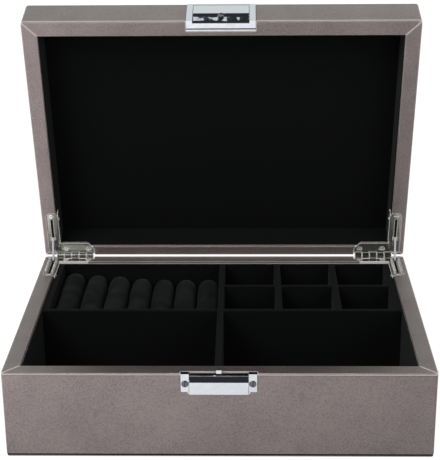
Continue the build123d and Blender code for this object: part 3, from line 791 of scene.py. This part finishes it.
class JEWELLERYBOX_OT_fittings(bpy.types.Operator):
    """Finish the chrome hinges, stays, latch and striker"""

    bl_idname = "jewellery_box.fittings"
    bl_label = "Chrome Fittings"

    def execute(self, context):
        finishes = context.scene.box_finishes
        hinge = chrome_material(
            "nickel_chrome_hinges",
            finishes.hinge_chrome,
            0.16,
            wear=0.06,
            milky=0.1,
            bright_edges=1.0,
            knuckle=KNUCKLE_REACH,
        )
        dress(HINGE_NODES, hinge)
        stay = chrome_material("satin_chrome_stays", finishes.chrome, 0.35, wear=0.1, milky=0.9)
        dress(STAY_NODES, stay)
        screw = chrome_material("bright_screw_heads", finishes.chrome, 0.1, bright_edges=1.0)
        dress(HINGE_SCREWS, screw)
        dress(LATCH_NODES, chrome_material("chrome_plate_latch", finishes.chrome, 0.06, wave=LATCH_WAVE))
        dulled = chrome_material("dulled_steel_heads", finishes.dull_steel, 0.12, wear=0.05)
        dress(["latch_screws", "striker_rivet"], dulled)
        dress(["latch_spring"], chrome_material("spring_steel_blued", finishes.steel, 0.3))
        return {"FINISHED"}


class JEWELLERYBOX_OT_carcass(bpy.types.Operator):
    """Finish the boards under the leather and the felt under the box"""

    bl_idname = "jewellery_box.carcass"
    bl_label = "Boards and Felt"

    def execute(self, context):
        finishes = context.scene.box_finishes
        dress(BOARD_NODES, board_material("fibreboard", finishes))
        dress(["bottom_felt"], felt_material("pressed_felt_black", finishes))
        return {"FINISHED"}


def soft_lamp(name, location, aim, width, height, power):
    """A flat softbox aimed at a point."""
    light = bpy.data.lights.new(name, "AREA")
    light.shape = "RECTANGLE"
    light.size, light.size_y, light.energy = width, height, power
    lamp = bpy.data.objects.new(name, light)
    lamp.matrix_world = Matrix.Translation(location) @ (
        Vector(aim) - Vector(location)
    ).to_track_quat("-Z", "Y").to_matrix().to_4x4()
    bpy.context.scene.collection.objects.link(lamp)


KEY = ((-0.9, -0.9, 1.3), (0, 0, 0.12), 1.0, 1.0, 14)  # place, aim, width, height and watts
FILL = ((1.2, -1.1, 0.9), (0, 0, 0.1), 1.4, 1.0, 6)
ROOM_GLOW, OVERHEAD_GLOW = 0.03, 0.75
ROOM = (1.7, -1.5, 0.55, 0.15, 1.75)  # half width, near and far ends, foot and ceiling, in metres
OVERHEAD = (-0.9, -0.045, -0.85, -0.1, 1.7)  # left, right, near and far edges and height of a softbox
CAMERA_PLACE = (0.0178, -0.8357, 0.4397)
CAMERA_TURN = (-1.264, 20.831, -0.502)  # right, down and anticlockwise, in degrees
SENSOR_HEIGHT = 36  # in millimetres
FLOOR_SHINE = 0.8  # share of its own glow in what the camera and the metal see of the floor
FLOOR_WHITE = 1.2  # how bright that glow is to the camera
WORLD_LIGHT = 0.35  # strength of the white world as a light
MIRRORED_WHITE = (0.75, 0.79, 0.76, 1)  # the white world as the metal shows it
SOFTBOX_WHITE = (0.93, 0.95, 1, 1)


class JEWELLERYBOX_OT_stage(bpy.types.Operator):
    """Make the pale floor, the soft light and the camera"""

    bl_idname = "jewellery_box.stage"
    bl_label = "Stage"

    def execute(self, context):
        scene = context.scene
        finishes, sizes = scene.box_finishes, scene.box_sizes
        self.make_floor(finishes, sizes)
        self.make_world(scene)
        self.make_room()
        soft_lamp("key_softbox", *KEY)
        soft_lamp("fill_softbox", *FILL)
        self.make_camera(scene, sizes)
        scene.view_settings.view_transform = "Standard"
        return {"FINISHED"}

    def make_floor(self, finishes, sizes):
        """A flat floor with a glow of its own, so that the shadow stays light.

        What reflections see of its glow is brighter to the left and, as a painted
        shadow of the box, dimmer just before the front.
        """
        half = sizes.floor_size / 2
        points = np.array([(-half, -half, 0), (half, -half, 0), (half, half, 0), (-half, half, 0)])
        material, tree, output = new_material("stage_white")
        path = node(tree, "ShaderNodeLightPath")
        seen = node(
            tree,
            "ShaderNodeMath",
            {0: path.outputs["Is Camera Ray"], 1: path.outputs["Is Glossy Ray"]},
            operation="MAXIMUM",
        )
        share = node(tree, "ShaderNodeMath", {0: seen.outputs[0], 1: FLOOR_SHINE}, operation="MULTIPLY")
        place = node(tree, "ShaderNodeTexCoord").outputs["Object"]
        spot = node(tree, "ShaderNodeSeparateXYZ", {"Vector": place}).outputs
        across = node(
            tree,
            "ShaderNodeMapRange",
            {"Value": spot["X"], "From Min": -0.25, "From Max": 0.25, "To Min": 1.4, "To Max": 0.65},
        )
        # painted shadow of the box in what reflections see of the floor
        before = node(
            tree,
            "ShaderNodeMapRange",
            {"Value": spot["Y"], "From Min": -0.1, "From Max": -0.26, "To Min": 0.6, "To Max": 1.1},
        )
        beside = node(
            tree,
            "ShaderNodeMapRange",
            {"Value": spot["Y"], "From Min": -0.1, "From Max": -0.07, "To Min": 0.6, "To Max": 1.3},
        )
        near = node(
            tree, "ShaderNodeMath", {0: before.outputs[0], 1: beside.outputs[0]}, operation="MAXIMUM"
        )
        dim = node(
            tree, "ShaderNodeMath", {0: across.outputs[0], 1: near.outputs[0]}, operation="MULTIPLY"
        )
        level = node(
            tree,
            "ShaderNodeMix",
            {0: path.outputs["Is Camera Ray"], 2: dim.outputs[0], 3: FLOOR_WHITE},
        )
        matt = node(tree, "ShaderNodeBsdfDiffuse", {"Color": rgba(finishes.stage)})
        glow = node(tree, "ShaderNodeEmission", {"Color": (1, 1, 1, 1), "Strength": level.outputs[0]})
        mix = node(
            tree,
            "ShaderNodeMixShader",
            {0: share.outputs[0], 1: matt.outputs[0], 2: glow.outputs[0]},
        )
        tree.links.new(mix.outputs[0], output.inputs["Surface"])
        floor = mesh_object("floor", points, [(0, 1, 2, 3)], material)

    def make_room(self):
        """Unlit walls and ceiling on the camera's side with a softbox overhead, for reflections."""
        wide, near, far, low, high = ROOM
        points = np.array([(x, y, z) for y in (near, far) for z in (low, high) for x in (-wide, wide)])
        walls = [(0, 1, 3, 2), (2, 3, 7, 6), (0, 2, 6, 4), (1, 5, 7, 3)]
        self.reflected("unlit_room", points, walls, ROOM_GLOW)
        left, right, near, far, high = OVERHEAD
        points = np.array([(x, y, high) for y in (near, far) for x in (left, right)])
        self.reflected("overhead_softbox", points, [(0, 1, 3, 2)], OVERHEAD_GLOW)

    def reflected(self, name, points, faces, strength):
        """Flat glowing faces that only reflections show."""
        material, tree, output = new_material(name)
        glow = node(tree, "ShaderNodeEmission", {"Color": SOFTBOX_WHITE, "Strength": strength})
        tree.links.new(glow.outputs[0], output.inputs["Surface"])
        made = mesh_object(name, points, faces, material)
        made.data.shade_flat()
        made.visible_camera = made.visible_diffuse = made.visible_shadow = False
        made.visible_transmission = made.visible_volume_scatter = False

    def make_world(self, scene):
        """White to the camera, a pale grey to the metal, and dimmer as a light."""
        world = bpy.data.worlds.new("studio_white")
        world.use_nodes = True
        tree = world.node_tree
        tree.nodes.clear()
        output = tree.nodes.new("ShaderNodeOutputWorld")
        path = node(tree, "ShaderNodeLightPath")
        seen = node(
            tree,
            "ShaderNodeMath",
            {0: path.outputs["Is Camera Ray"], 1: path.outputs["Is Glossy Ray"]},
            operation="MAXIMUM",
        )
        strength = node(
            tree,
            "ShaderNodeMapRange",
            {"Value": seen.outputs[0], "To Min": WORLD_LIGHT, "To Max": 1.0},
        )
        tint = node(
            tree,
            "ShaderNodeMix",
            {"Factor": path.outputs["Is Glossy Ray"], "A": (1, 1, 1, 1), "B": MIRRORED_WHITE},
            data_type="RGBA",
        )
        sky = node(
            tree,
            "ShaderNodeBackground",
            {"Color": tint.outputs["Result"], "Strength": strength.outputs[0]},
        )
        tree.links.new(sky.outputs[0], output.inputs["Surface"])
        scene.world = world

    def make_camera(self, scene, sizes):
        """The camera as fitted to sixteen corners of the box in the photograph."""
        yaw, pitch, roll = (radians(a) for a in CAMERA_TURN)
        ahead = Vector((sin(yaw) * cos(pitch), cos(yaw) * cos(pitch), -sin(pitch)))
        right = Vector((cos(yaw), -sin(yaw), 0))
        up = right.cross(ahead)
        rolled_right = right * cos(roll) + up * sin(roll)
        rolled_up = up * cos(roll) - right * sin(roll)
        turn = Matrix((rolled_right, rolled_up, -ahead)).transposed().to_4x4()
        data = bpy.data.cameras.new("camera")
        data.sensor_fit = "VERTICAL"
        data.sensor_height = SENSOR_HEIGHT
        data.lens = sizes.lens
        camera = bpy.data.objects.new("camera", data)
        camera.matrix_world = Matrix.Translation(CAMERA_PLACE) @ turn
        scene.collection.objects.link(camera)
        scene.camera = camera


OPERATORS = (
    JEWELLERYBOX_OT_leather,
    JEWELLERYBOX_OT_velvet,
    JEWELLERYBOX_OT_ring_rolls,
    JEWELLERYBOX_OT_fittings,
    JEWELLERYBOX_OT_carcass,
    JEWELLERYBOX_OT_stage,
)


class JEWELLERYBOX_PT_panel(bpy.types.Panel):
    """The box's finishes and steps"""

    bl_idname = "JEWELLERYBOX_PT_panel"
    bl_label = "Jewellery Box"
    bl_space_type = "VIEW_3D"
    bl_region_type = "UI"
    bl_category = "Jewellery Box"

    def draw(self, context):
        layout = self.layout
        for group in (context.scene.box_finishes, context.scene.box_sizes):
            column = layout.column()
            for name in group.__annotations__:
                column.prop(group, name)
        for operator in OPERATORS:
            layout.operator(operator.bl_idname)


CLASSES = (BoxFinishes, BoxSizes, *OPERATORS, JEWELLERYBOX_PT_panel)


def register():
    for cls in CLASSES:
        bpy.utils.register_class(cls)
    bpy.types.Scene.box_finishes = PointerProperty(type=BoxFinishes)
    bpy.types.Scene.box_sizes = PointerProperty(type=BoxSizes)


def unregister():
    del bpy.types.Scene.box_finishes
    del bpy.types.Scene.box_sizes
    for cls in reversed(CLASSES):
        bpy.utils.unregister_class(cls)


def main():
    """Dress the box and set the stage."""
    register()
    for operator in OPERATORS:
        group, name = operator.bl_idname.split(".")
        getattr(getattr(bpy.ops, group), name)()


if __name__ == "__main__":
    main()
